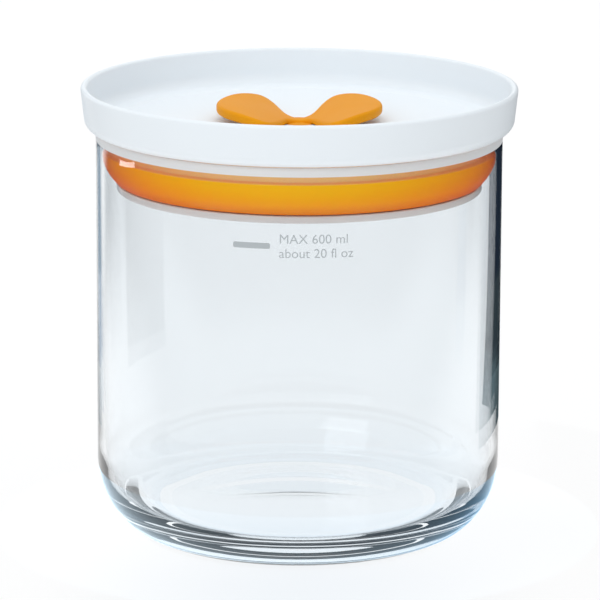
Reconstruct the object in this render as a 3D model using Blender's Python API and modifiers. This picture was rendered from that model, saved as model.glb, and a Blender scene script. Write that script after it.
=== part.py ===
"""A glass food storage canister with a turn-to-seal lid.

Metres, +Z up. The origin is on the jar's axis at the surface that it stands on, and the front
is towards -Y. A quarter turn of the butterfly knob turns the cam sleeve under the lid. Its two
helical grooves raise or lower the pressure plate by the two lugs in the plate's post, and the
plate squeezes the seal ring against the glass. The pieces are shown closed.
"""

import math

import bmesh
import bpy
from mathutils import Matrix, Vector

# Clearances between pieces that touch
SEAT_GAP = 0.0003
RUNNING_GAP = 0.0003
SEAL_GLASS_GAP = 0.0003

# Glass jar
JAR_RADIUS = 0.0530
JAR_HEIGHT = 0.1070
JAR_LIP_WALL = 0.0014
JAR_FOOT_WALL = 0.00195
JAR_LIP_DROP = 0.00225
JAR_LIP_ROUNDING = 0.0009
JAR_INNER_ROUNDING = 0.0004
JAR_HEEL_WIDTH = 0.0157
JAR_HEEL_HEIGHT = 0.0203
JAR_FOOT_WIDTH = 0.0032
JAR_PUNT_DEPTH = 0.0012
JAR_FLOOR = 0.0079
JAR_CORNER_WIDTH = 0.0099
JAR_CORNER_HEIGHT = 0.0165
JAR_CORNER_POWER = 2.5

# Lid shell
LID_OVERHANG = 0.00385
LID_DRAFT = 0.0008
LID_WALL = 0.0017
LID_FLOOR = 0.0016
LID_RIM_HEIGHT = 0.0096
LID_EDGE_WIDTH = 0.0034
LID_EDGE_HEIGHT = 0.0031
LID_TRAY_FILLET = 0.0030
LID_STEP_RADIUS = 0.0475
LID_STEP_HEIGHT = 0.0005
LID_SKIRT_WALL = 0.0015
LID_SKIRT_DEPTH = 0.0103
LID_GUIDE_WALL = 0.0020
LID_GUIDE_DEPTH = 0.0100
LID_RIB_COUNT = 8
LID_RIB_WIDTH = 0.0012
LID_RIB_DEPTH = 0.0045
LID_SET_ANGLE = math.radians(0.9)

# Seal ring
SEAL_NECK_WALL = 0.0030
SEAL_LIP_REACH = 0.0010
SEAL_LIP_DROP = 0.0048
SEAL_LIP_HEIGHT = 0.0008
SEAL_GROOVE_DEPTH = 0.0018
SEAL_GROOVE_HEIGHT = 0.0050
SEAL_FOOT_WIDTH = 0.0029
SEAL_FOOT_HEIGHT = 0.0023

# Pressure plate
PLATE_INSET = 0.0039
PLATE_THICKNESS = 0.0019
PLATE_EDGE_ROUNDING = 0.0004
PLATE_SPACE = 0.0135
PLATE_RING_WALL = 0.0015
PLATE_RING_HEIGHT = 0.0020
PLATE_POST_WALL = 0.0019
PLATE_POST_HEIGHT = 0.0108
PLATE_RIB_COUNT = 6
PLATE_RIB_WIDTH = 0.0012
PLATE_RIB_HEIGHT = 0.0016
PLATE_TRAVEL = 0.0025
LUG_RADIUS = 0.0011
LUG_DROP = 0.0048
KEY_WIDTH = 0.0030
KEY_REACH = 0.0015

# Knob and stem
KNOB_RADIUS = 0.0216
KNOB_GRIP_RISE = 0.00485
KNOB_WAIST_RISE = 0.0006
KNOB_WAIST = 0.0019
KNOB_WING_REACH = 0.0180
KNOB_WING_THICKNESS = 0.0026
KNOB_CORNER_DEPTH = 0.0031
KNOB_CORNER_ANGLE = math.radians(58)
KNOB_MOUTH_ANGLE = math.radians(65.8)
KNOB_EDGE = 0.0008
KNOB_TURN = math.radians(90)
STEM_RADIUS = 0.0053
STEM_LENGTH = 0.0103
STEM_FLAT = 0.0010
O_RING_SECTION = 0.0008
O_RING_GROOVE = 0.0009
O_RING_PLAY = 0.0001

# Cam sleeve, washers and screw
SLIP_WASHER = 0.0008
SLEEVE_INNER_WALL = 0.0017
GROOVE_DEPTH = 0.0018
SLEEVE_LENGTH = 0.0110
SLEEVE_WEB = 0.0015
GROOVE_RUN_OUT = math.radians(30)
GROOVE_OVERLAP = math.radians(1)
SCREW_RADIUS = 0.0015
SCREW_LENGTH = 0.0075
SCREW_HEAD_RADIUS = 0.0029
SCREW_HEAD_HEIGHT = 0.0017
SCREW_WASHER = 0.0004
SCREW_SLOT_WIDTH = 0.0006
SCREW_SLOT_LENGTH = 0.0032
SCREW_SLOT_DEPTH = 0.0009

# Fineness of the turned and swept shapes
SEGMENTS = 60
SMALL_SEGMENTS = 24
MERGE = 0.00001

# Places that follow from the sizes above
LID_UNDERSIDE = JAR_HEIGHT + SEAT_GAP
TRAY_FLOOR = LID_UNDERSIDE + LID_FLOOR
LID_TOP = TRAY_FLOOR + LID_RIM_HEIGHT
LID_RADIUS = JAR_RADIUS + LID_OVERHANG
JAR_BORE = JAR_RADIUS - JAR_LIP_WALL
SEAL_RADIUS = JAR_BORE - SEAL_GLASS_GAP
SEAL_NECK = SEAL_RADIUS - SEAL_LIP_REACH
SEAL_BORE = SEAL_NECK - SEAL_NECK_WALL
SKIRT_RADIUS = SEAL_BORE - SEAT_GAP
PLATE_RADIUS = JAR_BORE - PLATE_INSET
PLATE_TOP = LID_UNDERSIDE - PLATE_SPACE
PLATE_BOTTOM = PLATE_TOP - PLATE_THICKNESS
SEAL_FOOT_BORE = PLATE_RADIUS - SEAL_FOOT_WIDTH
LID_BORE = STEM_RADIUS + RUNNING_GAP
SLEEVE_TOP = LID_UNDERSIDE - SLIP_WASHER - 2 * SEAT_GAP
SLEEVE_BOTTOM = SLEEVE_TOP - SLEEVE_LENGTH
STEM_END = TRAY_FLOOR - STEM_LENGTH
WEB_TOP = STEM_END - SEAT_GAP
WEB_BOTTOM = WEB_TOP - SLEEVE_WEB
SCREW_HEAD_TOP = WEB_BOTTOM - SCREW_WASHER - 2 * SEAT_GAP
GROOVE_FLOOR = LID_BORE + SLEEVE_INNER_WALL
SLEEVE_RADIUS = GROOVE_FLOOR + GROOVE_DEPTH
POST_BORE = SLEEVE_RADIUS + RUNNING_GAP
POST_RADIUS = POST_BORE + PLATE_POST_WALL
GUIDE_BORE = POST_RADIUS + RUNNING_GAP
GUIDE_RADIUS = GUIDE_BORE + LID_GUIDE_WALL
LUG_HEIGHT = LID_UNDERSIDE - LUG_DROP
GROOVE_HALF = LUG_RADIUS + RUNNING_GAP


def clear_scene():
    for item in list(bpy.data.objects):
        bpy.data.objects.remove(item, do_unlink=True)


def new_collection(name):
    collection = bpy.data.collections.new(name)
    bpy.context.scene.collection.children.link(collection)
    return collection


def material(name, colour, roughness, metallic=0.0, transmission=0.0):
    made = bpy.data.materials.new(name)
    made.use_nodes = True
    shader = made.node_tree.nodes["Principled BSDF"]
    shader.inputs["Base Color"].default_value = (*colour, 1.0)
    shader.inputs["Roughness"].default_value = roughness
    shader.inputs["Metallic"].default_value = metallic
    shader.inputs["Transmission Weight"].default_value = transmission
    return made


def arc(centre, radii, start, end, steps):
    """Points (r, z) on a quarter or part of an ellipse, in degrees from +r towards +z."""
    angles = (math.radians(start + (end - start) * step / steps) for step in range(steps + 1))
    return [(centre[0] + radii[0] * math.cos(a), centre[1] + radii[1] * math.sin(a)) for a in angles]


def full_corner(centre, radii, power, steps):
    """Points (r, z) on the lower outer quarter of a superellipse, from its foot to its side."""
    angles = (math.pi / 2 * step / steps for step in range(steps + 1))
    return [
        (centre[0] + radii[0] * math.sin(a) ** (2 / power), centre[1] - radii[1] * math.cos(a) ** (2 / power))
        for a in angles
    ]


def bend(points, steps):
    """Points on the Bezier curve of the given control points."""
    order = len(points) - 1
    curve = []
    for step in range(steps + 1):
        t = step / steps
        weights = [math.comb(order, k) * t**k * (1 - t) ** (order - k) for k in range(order + 1)]
        curve.append(tuple(sum(w * p[axis] for w, p in zip(weights, points)) for axis in (0, 1)))
    return curve


def ring_outline(inner, outer, low, high):
    return [(inner, high), (outer, high), (outer, low), (inner, low)]


def add_object(name, mesh, collection, finish=None):
    made = bpy.data.objects.new(name, mesh)
    collection.objects.link(made)
    if finish:
        mesh.materials.append(finish)
    return made


def hide_tool(tool):
    tool.hide_render = True
    tool.display_type = "WIRE"
    return tool


def turned(name, outline, collection, finish=None, closed=False, segments=SEGMENTS):
    """A turned solid from an outline (r, z) that runs down its outer side."""
    mesh = bpy.data.meshes.new(name)
    shape = bmesh.new()
    points = [shape.verts.new((r, 0.0, z)) for r, z in outline]
    for first, second in zip(points, points[1:]):
        shape.edges.new((first, second))
    if closed:
        shape.edges.new((points[-1], points[0]))
    shape.to_mesh(mesh)
    shape.free()
    made = add_object(name, mesh, collection, finish)
    screw = made.modifiers.new("turn", "SCREW")
    screw.steps = segments
    screw.render_steps = segments
    screw.use_merge_vertices = True
    screw.merge_threshold = MERGE
    screw.use_smooth_shade = True
    return made


def boxes(name, parts, collection):
    """One cutter or adder of boxes, each (size, centre, angle about +Z, distance out along +X)."""
    mesh = bpy.data.meshes.new(name)
    shape = bmesh.new()
    for size, centre, angle in parts:
        place = Matrix.Rotation(angle, 4, "Z") @ Matrix.Translation(centre)
        bmesh.ops.create_cube(shape, size=1.0, matrix=place @ Matrix.Diagonal((*size, 1.0)))
    shape.to_mesh(mesh)
    shape.free()
    return hide_tool(add_object(name, mesh, collection))


def rods(name, parts, collection, segments=SMALL_SEGMENTS):
    """One cutter or adder of round rods that lie along the radius: (radius, length, centre, angle)."""
    mesh = bpy.data.meshes.new(name)
    shape = bmesh.new()
    for radius, length, centre, angle in parts:
        place = Matrix.Rotation(angle, 4, "Z") @ Matrix.Translation(centre)
        place = place @ Matrix.Rotation(math.pi / 2, 4, "Y")
        bmesh.ops.create_cone(
            shape, cap_ends=True, segments=segments, radius1=radius, radius2=radius,
            depth=length, matrix=place,
        )
    shape.to_mesh(mesh)
    shape.free()
    return hide_tool(add_object(name, mesh, collection))


def bent_plate(name, outline, depth, rounding, height, stations, collection):
    """A plate of a flat outline with rounded edges, bent so that its top lies at height(x).

    The plate is a filled 2D curve turned into a mesh, and is cut across at the stations along x,
    so that it follows the bend.
    """
    curve = bpy.data.curves.new(name, "CURVE")
    curve.dimensions = "2D"
    curve.fill_mode = "BOTH"
    curve.extrude = depth / 2 - rounding
    curve.bevel_depth = rounding
    curve.bevel_resolution = 2
    curve.offset = -rounding
    spline = curve.splines.new("POLY")
    spline.points.add(len(outline) - 1)
    for point, (x, y) in zip(spline.points, outline):
        point.co = (x, y, 0.0, 1.0)
    spline.use_cyclic_u = True
    guide = bpy.data.objects.new(name + "_curve", curve)
    collection.objects.link(guide)
    bpy.context.view_layer.update()
    evaluated = guide.evaluated_get(bpy.context.evaluated_depsgraph_get())
    mesh = bpy.data.meshes.new_from_object(evaluated)
    shape = bmesh.new()
    shape.from_mesh(mesh)
    bmesh.ops.remove_doubles(shape, verts=shape.verts, dist=MERGE)
    for station in stations:
        parts = [*shape.verts, *shape.edges, *shape.faces]
        bmesh.ops.bisect_plane(shape, geom=parts, plane_co=(station, 0, 0), plane_no=(1, 0, 0), dist=MERGE)
    for corner in shape.verts:
        corner.co.z += height(corner.co.x) - depth / 2
    bmesh.ops.recalc_face_normals(shape, faces=shape.faces)
    shape.to_mesh(mesh)
    shape.free()
    bpy.data.objects.remove(guide, do_unlink=True)
    return add_object(name, mesh, collection)


def boolean(target, tool, operation):
    step = target.modifiers.new(f"{operation.lower()}_{tool.name}", "BOOLEAN")
    step.operation = operation
    step.solver = "EXACT"
    step.object = tool
    return step


def around(count, start=0.0):
    return [start + 2 * math.pi * step / count for step in range(count)]


def jar_wall(height):
    """Wall thickness of the jar, which grows towards the foot."""
    span = JAR_HEIGHT - JAR_FLOOR - JAR_CORNER_HEIGHT
    share = (JAR_HEIGHT - height) / span
    return JAR_LIP_WALL + (JAR_FOOT_WALL - JAR_LIP_WALL) * share**3


def make_jar(collection, finish):
    foot = JAR_RADIUS - JAR_HEEL_WIDTH
    punt = foot - JAR_FOOT_WIDTH
    corner = JAR_RADIUS - JAR_FOOT_WALL - JAR_CORNER_WIDTH
    corner_top = JAR_FLOOR + JAR_CORNER_HEIGHT
    inner_top = JAR_HEIGHT - JAR_INNER_ROUNDING
    outline = [(0.0, JAR_FLOOR)]
    outline += full_corner(
        (corner, corner_top), (JAR_CORNER_WIDTH, JAR_CORNER_HEIGHT), JAR_CORNER_POWER, 7,
    )
    for step in range(1, 6):
        height = corner_top + (inner_top - corner_top) * step / 6
        outline.append((JAR_RADIUS - jar_wall(height), height))
    outline += arc(
        (JAR_BORE + JAR_INNER_ROUNDING, inner_top),
        (JAR_INNER_ROUNDING, JAR_INNER_ROUNDING), 180, 90, 2,
    )
    outline += arc(
        (JAR_RADIUS - JAR_LIP_ROUNDING, JAR_HEIGHT - JAR_LIP_DROP),
        (JAR_LIP_ROUNDING, JAR_LIP_DROP), 90, 0, 5,
    )
    outline += arc((foot, JAR_HEEL_HEIGHT), (JAR_HEEL_WIDTH, JAR_HEEL_HEIGHT), 0, -90, 8)
    outline += arc((0.0, 0.0), (punt, JAR_PUNT_DEPTH), 0, 90, 3)
    return turned("glass_jar", outline, collection, finish)


def make_lid(collection, tools, finish):
    """The tray, its plug skirt, the guide tube with two keyways, and the ribs between them."""
    crest = LID_WALL / 2
    crest_height = LID_TOP - crest
    wall_bottom = LID_RADIUS - LID_DRAFT
    tray_bottom = wall_bottom - LID_WALL
    outer_floor = TRAY_FLOOR + LID_STEP_HEIGHT
    skirt_bottom = LID_UNDERSIDE - LID_SKIRT_DEPTH
    guide_bottom = LID_UNDERSIDE - LID_GUIDE_DEPTH
    outline = [
        (LID_BORE, TRAY_FLOOR),
        (LID_STEP_RADIUS - LID_STEP_HEIGHT, TRAY_FLOOR),
        (LID_STEP_RADIUS + LID_STEP_HEIGHT, outer_floor),
    ]
    outline += arc(
        (tray_bottom - LID_TRAY_FILLET, outer_floor + LID_TRAY_FILLET),
        (LID_TRAY_FILLET, LID_TRAY_FILLET), -90, 0, 5,
    )
    outline += arc((LID_RADIUS - crest, crest_height), (crest, crest), 180, 0, 6)
    outline += arc(
        (wall_bottom - LID_EDGE_WIDTH, LID_UNDERSIDE + LID_EDGE_HEIGHT),
        (LID_EDGE_WIDTH, LID_EDGE_HEIGHT), 0, -90, 6,
    )
    outline += [
        (SKIRT_RADIUS, LID_UNDERSIDE),
        (SKIRT_RADIUS, skirt_bottom),
        (SKIRT_RADIUS - LID_SKIRT_WALL, skirt_bottom),
        (SKIRT_RADIUS - LID_SKIRT_WALL, LID_UNDERSIDE),
        (GUIDE_RADIUS, LID_UNDERSIDE),
        (GUIDE_RADIUS, guide_bottom),
        (GUIDE_BORE, guide_bottom),
        (GUIDE_BORE, LID_UNDERSIDE),
        (LID_BORE, LID_UNDERSIDE),
    ]
    lid = turned("lid_shell", outline, collection, finish, closed=True)

    inner = (GUIDE_BORE + GUIDE_RADIUS) / 2
    outer = SKIRT_RADIUS - LID_SKIRT_WALL / 2
    rib_top = LID_UNDERSIDE + LID_FLOOR / 2
    rib_bottom = LID_UNDERSIDE - LID_RIB_DEPTH
    rib_size = (outer - inner, LID_RIB_WIDTH, rib_top - rib_bottom)
    rib_centre = Vector(((inner + outer) / 2, 0.0, (rib_top + rib_bottom) / 2))
    ribs = [(rib_size, rib_centre, a) for a in around(LID_RIB_COUNT, math.pi / LID_RIB_COUNT)]
    boolean(lid, boxes("lid_ribs", ribs, tools), "UNION")

    slot_depth = LID_GUIDE_DEPTH + SEAT_GAP
    slot_width = KEY_WIDTH + 2 * RUNNING_GAP
    slot_size = (GUIDE_RADIUS - POST_BORE, slot_width, slot_depth)
    slot_centre = Vector(((GUIDE_RADIUS + POST_BORE) / 2 + SEAT_GAP, 0.0, guide_bottom))
    slot_centre.z = LID_UNDERSIDE - 2 * SEAT_GAP - slot_depth / 2
    slots = [(slot_size, slot_centre, a) for a in around(2, math.pi / 2)]
    boolean(lid, boxes("guide_keyways", slots, tools), "DIFFERENCE")
    return lid


def make_seal(collection, finish):
    top = LID_UNDERSIDE - SEAT_GAP
    lip_top = LID_UNDERSIDE - SEAL_LIP_DROP
    lip_bottom = lip_top - SEAL_LIP_HEIGHT
    foot = PLATE_TOP + SEAT_GAP
    shelf = LID_UNDERSIDE - LID_SKIRT_DEPTH - SEAT_GAP
    groove_middle = (lip_top + lip_bottom) / 2
    groove_low = groove_middle - SEAL_GROOVE_HEIGHT / 2
    groove_high = groove_middle + SEAL_GROOVE_HEIGHT / 2
    groove = SEAL_BORE + SEAL_GROOVE_DEPTH
    outline = [
        (SEAL_BORE, top),
        (SEAL_NECK, top),
        (SEAL_NECK, lip_top + SEAL_LIP_REACH / 2),
        (SEAL_RADIUS, lip_top),
    ]
    outline += bend(
        [(SEAL_RADIUS, lip_bottom), (SEAL_RADIUS, (lip_bottom + foot) / 2), (PLATE_RADIUS, foot)], 7,
    )
    outline += [
        (SEAL_FOOT_BORE, foot),
        (SEAL_FOOT_BORE, min(foot + SEAL_FOOT_HEIGHT, shelf)),
        (SEAL_BORE, shelf),
        (SEAL_BORE, groove_low),
        (groove, groove_low + SEAL_GROOVE_DEPTH / 2),
        (groove, groove_high - SEAL_GROOVE_DEPTH / 2),
        (SEAL_BORE, groove_high),
    ]
    return turned("seal_ring", outline, collection, finish, closed=True)


def make_plate(collection, tools, finish):
    """The plate with its locating ring, ribs and closed post, which carries two lugs and two keys."""
    ring = SEAL_FOOT_BORE - SEAT_GAP
    ring_top = PLATE_TOP + PLATE_RING_HEIGHT
    post_top = PLATE_TOP + PLATE_POST_HEIGHT
    edge = PLATE_EDGE_ROUNDING
    outline = [
        (0.0, PLATE_TOP),
        (POST_BORE, PLATE_TOP),
        (POST_BORE, post_top),
        (POST_RADIUS, post_top),
        (POST_RADIUS, PLATE_TOP),
        (ring - PLATE_RING_WALL, PLATE_TOP),
        (ring - PLATE_RING_WALL, ring_top),
        (ring, ring_top),
        (ring, PLATE_TOP),
    ]
    outline += arc((PLATE_RADIUS - edge, PLATE_TOP - edge), (edge, edge), 90, 0, 2)
    outline += arc((PLATE_RADIUS - edge, PLATE_BOTTOM + edge), (edge, edge), 0, -90, 2)
    outline.append((0.0, PLATE_BOTTOM))
    plate = turned("pressure_plate", outline, collection, finish)

    inner = (POST_BORE + POST_RADIUS) / 2
    outer = ring - PLATE_RING_WALL / 2
    rib_bottom = PLATE_TOP - PLATE_THICKNESS / 2
    rib_top = PLATE_TOP + PLATE_RIB_HEIGHT
    rib_size = (outer - inner, PLATE_RIB_WIDTH, rib_top - rib_bottom)
    rib_centre = Vector(((inner + outer) / 2, 0.0, (rib_top + rib_bottom) / 2))
    ribs = [(rib_size, rib_centre, a) for a in around(PLATE_RIB_COUNT, math.pi / PLATE_RIB_COUNT)]
    boolean(plate, boxes("plate_ribs", ribs, tools), "UNION")

    key_top = post_top - SEAT_GAP
    key_bottom = PLATE_TOP - PLATE_THICKNESS / 2
    key_size = (POST_RADIUS + KEY_REACH - inner, KEY_WIDTH, key_top - key_bottom)
    key_centre = Vector((inner + key_size[0] / 2, 0.0, (key_top + key_bottom) / 2))
    keys = [(key_size, key_centre, a) for a in around(2, math.pi / 2)]
    boolean(plate, boxes("plate_keys", keys, tools), "UNION")

    lug_tip = GROOVE_FLOOR + RUNNING_GAP
    lug_centre = Vector(((lug_tip + inner) / 2, 0.0, LUG_HEIGHT))
    lugs = [(LUG_RADIUS, inner - lug_tip, lug_centre, a) for a in around(2)]
    boolean(plate, rods("plate_lugs", lugs, tools, segments=16), "UNION")
    return plate


def grip_height(x):
    """Height of the saddle's top at a distance from its middle: low at the waist, high at the wings."""
    share = min(1.0, abs(x) / KNOB_WING_REACH)
    rise = math.sin(math.pi / 2 * share**0.8) ** 2
    return TRAY_FLOOR + KNOB_WAIST_RISE + (KNOB_GRIP_RISE - KNOB_WAIST_RISE) * rise


def grip_outline():
    """The butterfly seen from above: a circle with a rounded notch at the front and the back."""
    mouth = KNOB_RADIUS - KNOB_CORNER_DEPTH
    mouth_x = mouth * math.cos(KNOB_MOUTH_ANGLE)
    mouth_y = mouth * math.sin(KNOB_MOUTH_ANGLE)
    corner_x = KNOB_RADIUS * math.cos(KNOB_CORNER_ANGLE)
    corner_y = KNOB_RADIUS * math.sin(KNOB_CORNER_ANGLE)
    lead = KNOB_CORNER_DEPTH / 2
    notch = bend(
        [(0.0, KNOB_WAIST), (0.6 * mouth_x, KNOB_WAIST), (0.52 * mouth_x, 0.62 * mouth_y),
         (mouth_x, mouth_y)], 7,
    )
    corner = bend(
        [(mouth_x, mouth_y), (mouth_x + 0.6 * lead, mouth_y + lead),
         (corner_x - lead * math.sin(KNOB_CORNER_ANGLE), corner_y + lead * math.cos(KNOB_CORNER_ANGLE)),
         (corner_x, corner_y)], 4,
    )
    rim_angles = [KNOB_CORNER_ANGLE * (1 - step / 8) for step in range(9)]
    rim = [(KNOB_RADIUS * math.cos(a), KNOB_RADIUS * math.sin(a)) for a in rim_angles]
    quarter = notch + corner[1:] + rim[1:]
    half = quarter + [(x, -y) for x, y in quarter[-2::-1]]
    return half + [(-x, y) for x, y in half[-2:0:-1]]


def make_knob(collection, tools, finish):
    """The butterfly grip: a plate bent to a saddle, on a stem with an o-ring groove and a flat.

    The plate's waist sinks into the stem, and its wings are cut level just above the tray.
    """
    stations = [KNOB_RADIUS * step / 12 for step in range(-11, 12)]
    knob = bent_plate(
        "turn_knob", grip_outline(), KNOB_WING_THICKNESS, KNOB_EDGE, grip_height, stations, collection,
    )
    knob.data.materials.append(finish)
    socket = STEM_RADIUS - SEAT_GAP
    under = ring_outline(
        socket, 2 * KNOB_RADIUS, TRAY_FLOOR - 2 * KNOB_WING_THICKNESS, TRAY_FLOOR + RUNNING_GAP,
    )
    level_cut = turned("wing_level_cut", under, tools, closed=True, segments=SMALL_SEGMENTS)
    boolean(knob, hide_tool(level_cut), "DIFFERENCE")

    groove_middle = (LID_UNDERSIDE + TRAY_FLOOR) / 2
    groove_half = O_RING_SECTION / 2 + O_RING_PLAY
    groove = STEM_RADIUS - O_RING_GROOVE
    screw_hole = SCREW_RADIUS + RUNNING_GAP
    screw_hole_top = SCREW_HEAD_TOP + SCREW_LENGTH + SEAT_GAP
    stem = [
        (0.0, TRAY_FLOOR),
        (STEM_RADIUS, TRAY_FLOOR),
        (STEM_RADIUS, STEM_END),
        (screw_hole, STEM_END),
        (screw_hole, screw_hole_top),
        (0.0, screw_hole_top),
    ]
    boolean(knob, hide_tool(turned("stem", stem, tools, segments=SMALL_SEGMENTS)), "UNION")
    ring_cut = [
        (groove, groove_middle + groove_half),
        (STEM_RADIUS + SEAT_GAP, groove_middle + groove_half),
        (STEM_RADIUS + SEAT_GAP, groove_middle - groove_half),
        (groove, groove_middle - groove_half),
    ]
    cutter = turned("o_ring_groove", ring_cut, tools, closed=True, segments=SMALL_SEGMENTS)
    boolean(knob, hide_tool(cutter), "DIFFERENCE")
    flat_top = SLEEVE_TOP + RUNNING_GAP
    flat_size = (2 * STEM_FLAT, 2 * STEM_RADIUS, flat_top - STEM_END + SEAT_GAP)
    flat_centre = Vector((STEM_RADIUS, 0.0, flat_top - flat_size[2] / 2))
    boolean(knob, boxes("stem_flat", [(flat_size, flat_centre, 0.0)], tools), "DIFFERENCE")
    return knob


def swept_groove(name, start, end, drop, tools):
    """A cutter that sweeps the groove's section round the sleeve, falling by drop as it goes."""
    mesh = bpy.data.meshes.new(name)
    shape = bmesh.new()
    steps = max(2, round(abs(end - start) / math.radians(6)))
    sides = (
        (GROOVE_FLOOR, -GROOVE_HALF), (SLEEVE_RADIUS + SEAT_GAP, -GROOVE_HALF),
        (SLEEVE_RADIUS + SEAT_GAP, GROOVE_HALF), (GROOVE_FLOOR, GROOVE_HALF),
    )
    for turn in around(2):
        rotation = Matrix.Rotation(turn + start, 4, "Z")
        corners = [rotation @ Vector((r, 0.0, LUG_HEIGHT + z)) for r, z in sides]
        face = shape.faces.new([shape.verts.new(corner) for corner in corners])
        bmesh.ops.spin(
            shape, geom=[face, *face.edges, *face.verts], cent=(0, 0, 0), axis=(0, 0, 1),
            dvec=(0, 0, -drop / steps), angle=end - start, steps=steps, use_duplicate=False,
        )
    bmesh.ops.recalc_face_normals(shape, faces=shape.faces)
    shape.to_mesh(mesh)
    shape.free()
    return hide_tool(add_object(name, mesh, tools))


def make_sleeve(collection, tools, finish):
    """The cam sleeve: a tube with a web for the screw, a flat in its bore and two cam grooves.

    Seen from above, each groove falls clockwise from the closed place, by the plate's travel
    over the knob's turn, then runs level to a way out at the sleeve's foot, by which the plate
    comes off for washing.
    """
    web_hole = SCREW_RADIUS + RUNNING_GAP
    outline = [
        (LID_BORE, SLEEVE_TOP),
        (SLEEVE_RADIUS, SLEEVE_TOP),
        (SLEEVE_RADIUS, SLEEVE_BOTTOM),
        (LID_BORE, SLEEVE_BOTTOM),
        (LID_BORE, WEB_BOTTOM),
        (web_hole, WEB_BOTTOM),
        (web_hole, WEB_TOP),
        (LID_BORE, WEB_TOP),
    ]
    sleeve = turned("cam_sleeve", outline, collection, finish, closed=True)
    flat_in = STEM_RADIUS - STEM_FLAT + RUNNING_GAP
    flat_out = LID_BORE + SLEEVE_INNER_WALL / 2
    flat_low = WEB_TOP - SLEEVE_WEB / 2
    flat_size = (flat_out - flat_in, 1.6 * STEM_RADIUS, SLEEVE_TOP - SEAT_GAP - flat_low)
    flat_centre = Vector(((flat_in + flat_out) / 2, 0.0, (SLEEVE_TOP - SEAT_GAP + flat_low) / 2))
    boolean(sleeve, boxes("bore_flat", [(flat_size, flat_centre, 0.0)], tools), "UNION")

    slope = PLATE_TRAVEL / KNOB_TURN
    lug_turn = math.asin(GROOVE_HALF / GROOVE_FLOOR)
    cutter = swept_groove("groove_fall", lug_turn, -KNOB_TURN, slope * (KNOB_TURN + lug_turn), tools)
    cutter.location.z = slope * lug_turn
    boolean(sleeve, cutter, "DIFFERENCE")
    run_end = -KNOB_TURN - GROOVE_RUN_OUT
    run_start = -KNOB_TURN + GROOVE_OVERLAP
    cutter = swept_groove("groove_run_out", run_start, run_end - lug_turn, 0.0, tools)
    cutter.location.z = -PLATE_TRAVEL
    boolean(sleeve, cutter, "DIFFERENCE")
    way_top = LUG_HEIGHT - PLATE_TRAVEL
    way_bottom = SLEEVE_BOTTOM - SEAT_GAP
    way_size = (GROOVE_DEPTH + SEAT_GAP, 2 * GROOVE_HALF, way_top - way_bottom)
    way_centre = Vector((GROOVE_FLOOR + way_size[0] / 2, 0.0, (way_top + way_bottom) / 2))
    ways = [(way_size, way_centre, a) for a in around(2, run_end)]
    boolean(sleeve, boxes("groove_way_out", ways, tools), "DIFFERENCE")
    return sleeve


def make_screw(collection, tools, finish):
    """The cross-head screw that holds the cam sleeve on the stem."""
    edge = SCREW_HEAD_HEIGHT / 3
    outline = [
        (0.0, SCREW_HEAD_TOP + SCREW_LENGTH),
        (SCREW_RADIUS - edge / 2, SCREW_HEAD_TOP + SCREW_LENGTH),
        (SCREW_RADIUS, SCREW_HEAD_TOP + SCREW_LENGTH - edge / 2),
        (SCREW_RADIUS, SCREW_HEAD_TOP),
        (SCREW_HEAD_RADIUS, SCREW_HEAD_TOP),
    ]
    low = SCREW_HEAD_TOP - SCREW_HEAD_HEIGHT
    outline += arc((SCREW_HEAD_RADIUS - edge, low + edge), (edge, edge), 0, -90, 3)
    outline.append((0.0, low))
    screw = turned("cam_screw", outline, collection, finish, segments=SMALL_SEGMENTS)
    slot_size = (SCREW_SLOT_LENGTH, SCREW_SLOT_WIDTH, 2 * SCREW_SLOT_DEPTH)
    slots = [(slot_size, Vector((0.0, 0.0, low)), a) for a in (0.0, math.pi / 2)]
    for index, slot in enumerate(slots, 1):
        boolean(screw, boxes(f"screw_slot_{index}", [slot], tools), "DIFFERENCE")
    return screw


def make_small_rings(collection, nylon, steel, rubber):
    slip_top = LID_UNDERSIDE - SEAT_GAP
    slip = ring_outline(LID_BORE, SLEEVE_RADIUS, slip_top - SLIP_WASHER, slip_top)
    washer_top = WEB_BOTTOM - SEAT_GAP
    washer = ring_outline(
        SCREW_RADIUS + RUNNING_GAP, SCREW_HEAD_RADIUS + SEAT_GAP, washer_top - SCREW_WASHER, washer_top,
    )
    ring_middle = (LID_UNDERSIDE + TRAY_FLOOR) / 2
    ring_radius = (LID_BORE + STEM_RADIUS - O_RING_GROOVE) / 2
    o_ring = arc((ring_radius, ring_middle), (O_RING_SECTION / 2, O_RING_SECTION / 2), 90, -225, 7)
    return [
        turned("slip_washer", slip, collection, nylon, closed=True, segments=SMALL_SEGMENTS),
        turned("screw_washer", washer, collection, steel, closed=True, segments=SMALL_SEGMENTS),
        turned("stem_o_ring", o_ring, collection, rubber, closed=True, segments=SMALL_SEGMENTS),
    ]


def axis_empty(name, collection, parent=None, angle=0.0):
    empty = bpy.data.objects.new(name, None)
    empty.empty_display_size = 0.02
    collection.objects.link(empty)
    empty.parent = parent
    empty.rotation_euler.z = angle
    return empty


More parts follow.
